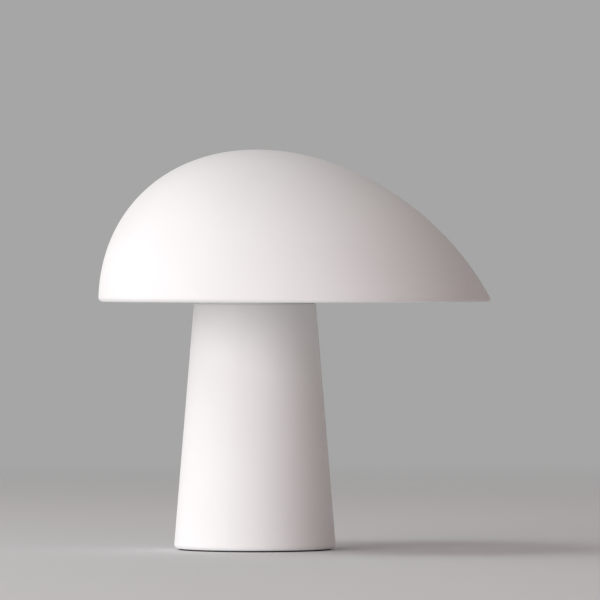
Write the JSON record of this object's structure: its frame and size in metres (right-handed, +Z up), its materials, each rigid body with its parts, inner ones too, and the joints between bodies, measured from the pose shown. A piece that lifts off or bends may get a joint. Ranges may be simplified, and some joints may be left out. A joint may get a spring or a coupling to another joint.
{
  "type": "mushroom table lamp",
  "caption": "Mushroom table lamp: a smooth domed metal shade that leans to one side, lifts off and turns on a tapered round stem, with a push switch and a cord inlet at the back.",
  "frame": {"origin": "centre of the foot pad's resting face, on the stem's axis", "axes": "+Z up, +X towards the side where the shade reaches further, -Y the front, +Y the back with the switch and the cord inlet"},
  "size_m": [0.2254, 0.2252, 0.23],
  "materials": {
    "white_paint": "satin powder coat",
    "iron_weight": "rough cast, dark primer",
    "zinc_steel": "bright zinc plate",
    "black_rubber": "matt",
    "white_nylon": "matt",
    "white_plastic": "fine texture",
    "ceramic": "unglazed steatite",
    "brass": "plain",
    "spring_steel": "bright drawn",
    "bulb_glass": "frosted",
    "led_board": "matt",
    "brown_insulation": "silicone",
    "blue_insulation": "silicone",
    "earth_insulation": "silicone"
  },
  "bodies": {
    "lamp_body": {"stem_shell": "white_paint", "stem_cap": "white_paint", "base_weight": "iron_weight", "base_plate": "zinc_steel", "base_plate_screws": "zinc_steel", "foot_pad": "black_rubber", "tie_rod": "zinc_steel", "tie_rod_nuts": "zinc_steel", "tie_rod_washers": "zinc_steel", "holder_base": "zinc_steel", "holder_posts": "zinc_steel", "holder_ring": "zinc_steel", "holder_nuts": "zinc_steel", "socket_stirrup": "zinc_steel", "stirrup_screws": "zinc_steel", "lampholder": "ceramic", "lampholder_cap": "ceramic", "lampholder_screws": "zinc_steel", "lampholder_nuts": "zinc_steel", "lampholder_contacts": "brass", "wire_grommet": "black_rubber", "cord_gland": "white_plastic", "cord_gland_nut": "white_plastic", "terminal_block": "white_plastic", "terminal_sleeves": "brass", "terminal_screws": "brass", "terminal_fixings": "zinc_steel", "earth_lug": "brass", "earth_screw": "brass", "wire_live": "brown_insulation", "wire_switched": "brown_insulation", "wire_neutral": "blue_insulation", "wire_earth": "earth_insulation", "switch_housing": "white_plastic", "switch_bezel": "white_plastic", "switch_terminals": "brass"},
    "glide": {"glide_ring": "white_nylon"},
    "shade": {"shade_shell": "white_paint", "shade_plate": "zinc_steel", "shade_studs": "zinc_steel", "shade_stud_nuts": "zinc_steel"},
    "bulb": {"bulb_base": "white_plastic", "bulb_glass": "bulb_glass", "bulb_core": "led_board", "bulb_pins": "zinc_steel"},
    "button": {"switch_button": "white_plastic", "switch_contact": "brass", "switch_spring": "spring_steel"}
  },
  "joints": [
    {"name": "shade_turn", "type": "hinge", "parent": "lamp_body", "child": "glide", "pos_m": [0, 0, 0.208], "axis": [0, 0, 1], "continuous": true},
    {"name": "shade_lift", "type": "slide", "parent": "glide", "child": "shade", "axis": [0, 0, 1], "range_m": [0, 0.08]},
    {"name": "bulb_pull", "type": "slide", "parent": "lamp_body", "child": "bulb", "axis": [0, 0, 1], "range_m": [0, 0.0094]},
    {"name": "switch_press", "type": "slide", "parent": "lamp_body", "child": "button", "axis": [0, -1, 0], "range_m": [0, 0.0025], "stiffness_N_per_m": 300, "springref_m": -0.004, "deforming": ["switch_spring"]}
  ]
}
